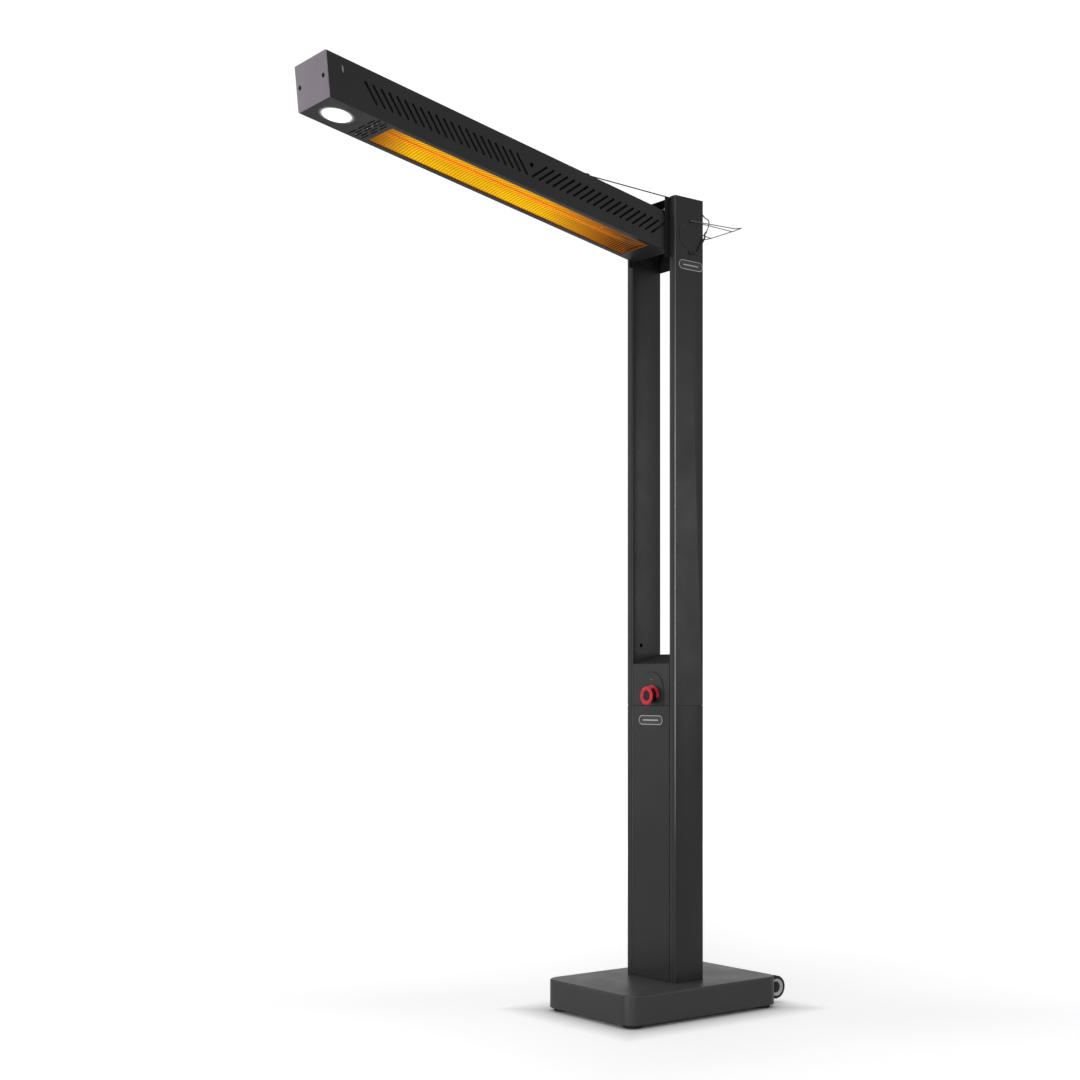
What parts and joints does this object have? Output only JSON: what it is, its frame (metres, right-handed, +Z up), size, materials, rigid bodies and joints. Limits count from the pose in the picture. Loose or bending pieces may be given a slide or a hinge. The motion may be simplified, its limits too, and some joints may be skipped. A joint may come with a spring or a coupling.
{
  "type": "outdoor heater",
  "caption": "Electric column heater for a terrace: a long radiant head tilts out over a weighted base and folds down between two posts.",
  "frame": {"origin": "on the floor, under the middle of the whole heater's bounding box with the head raised", "axes": "+Z up, -Y the way the raised head reaches out (the control knob's side), +X towards the post with the lock pin"},
  "size_m": [0.349, 1.3756, 2.2496],
  "materials": {
    "black_paint": "satin near-black powder coat",
    "cap_paint": "satin lighter grey-purple coat",
    "steel": "plain bright steel",
    "wire": "blackened steel",
    "aluminium": "brushed",
    "grey_plastic": "light grey, slightly glossy",
    "black_plastic": "fine matt texture",
    "rubber": "matt black",
    "red_plastic": "strong red, slightly glossy",
    "gold_reflector": "polished, gold tinted",
    "hot_tube": "glowing orange when lit",
    "ceramic": "matt, scorched dark",
    "lens": "frosted, glowing white when lit"
  },
  "bodies": {
    "stand": {"base_ballast": "steel", "base_casing": "black_paint", "base_plate": "steel", "cable_gland": "black_plastic", "cable_tail": "rubber", "column_foot_plate": "steel", "control_box": "black_paint", "control_switch": "black_plastic", "foot_front_left": "rubber", "foot_front_right": "rubber", "foot_rear_left": "rubber", "foot_rear_right": "rubber", "front_badge": "aluminium", "indicator_lens": "lens", "knob_bezel": "red_plastic", "lower_front_panel": "black_paint", "lower_post_left": "black_paint", "lower_post_right": "black_paint", "lower_rear_panel": "black_paint", "pivot_cover_left": "black_paint", "pivot_cover_right": "black_paint", "pivot_hood": "black_paint", "pivot_shaft": "steel", "pivot_washer_left": "steel", "pivot_washer_right": "steel", "post_coupler_left": "black_paint", "post_coupler_right": "black_paint", "side_badge": "aluminium", "stop_rod": "steel", "switch_plate": "black_paint", "upper_post_left": "black_paint", "upper_post_right": "black_paint", "wheel_axle": "steel", "wheel_bracket_left": "black_paint", "wheel_bracket_right": "black_paint", "wire_hook": "wire"},
    "head": {"head_housing": "black_paint", "head_fascia": "black_paint", "front_cap": "cap_paint", "cap_screw_left": "wire", "cap_screw_right": "wire", "pivot_bracket": "black_paint", "reflector": "gold_reflector", "lamp_tube_left": "hot_tube", "lamp_tube_right": "hot_tube", "lamp_holder_front": "ceramic", "lamp_holder_rear": "ceramic", "guard_grille": "wire", "light_lens": "lens", "light_module": "aluminium", "cable_anchor": "black_paint", "stay_cable": "rubber"},
    "knob": {"knob_body": "black_plastic", "knob_ring": "red_plastic", "knob_cap": "aluminium"},
    "wheel_left": {"wheel_tyre_left": "rubber", "wheel_hub_left": "grey_plastic"},
    "wheel_right": {"wheel_tyre_right": "rubber", "wheel_hub_right": "grey_plastic"},
    "lock_pin_body": {"lock_pin": "wire"}
  },
  "joints": [
    {"name": "head_tilt", "type": "hinge", "parent": "stand", "child": "head", "pos_m": [0, 0.36925, 2], "axis": [1, 0, 0], "range_deg": [0, 100.6], "deforming": ["stay_cable"]},
    {"name": "control_knob_turn", "type": "hinge", "parent": "stand", "child": "knob", "pos_m": [0.005, 0.32395, 0.8185], "axis": [0, -1, 0], "range_deg": [0, 270]},
    {"name": "wheel_left_spin", "type": "hinge", "parent": "stand", "child": "wheel_left", "pos_m": [0, 0.65725, 0.0425], "axis": [1, 0, 0], "continuous": true},
    {"name": "wheel_right_spin", "type": "hinge", "parent": "stand", "child": "wheel_right", "pos_m": [0, 0.65725, 0.0425], "axis": [1, 0, 0], "continuous": true},
    {"name": "lock_pin_pull", "type": "slide", "parent": "stand", "child": "lock_pin_body", "axis": [1, 0, 0], "range_m": [0, 0.04], "deforming": ["cable_tail"]}
  ]
}
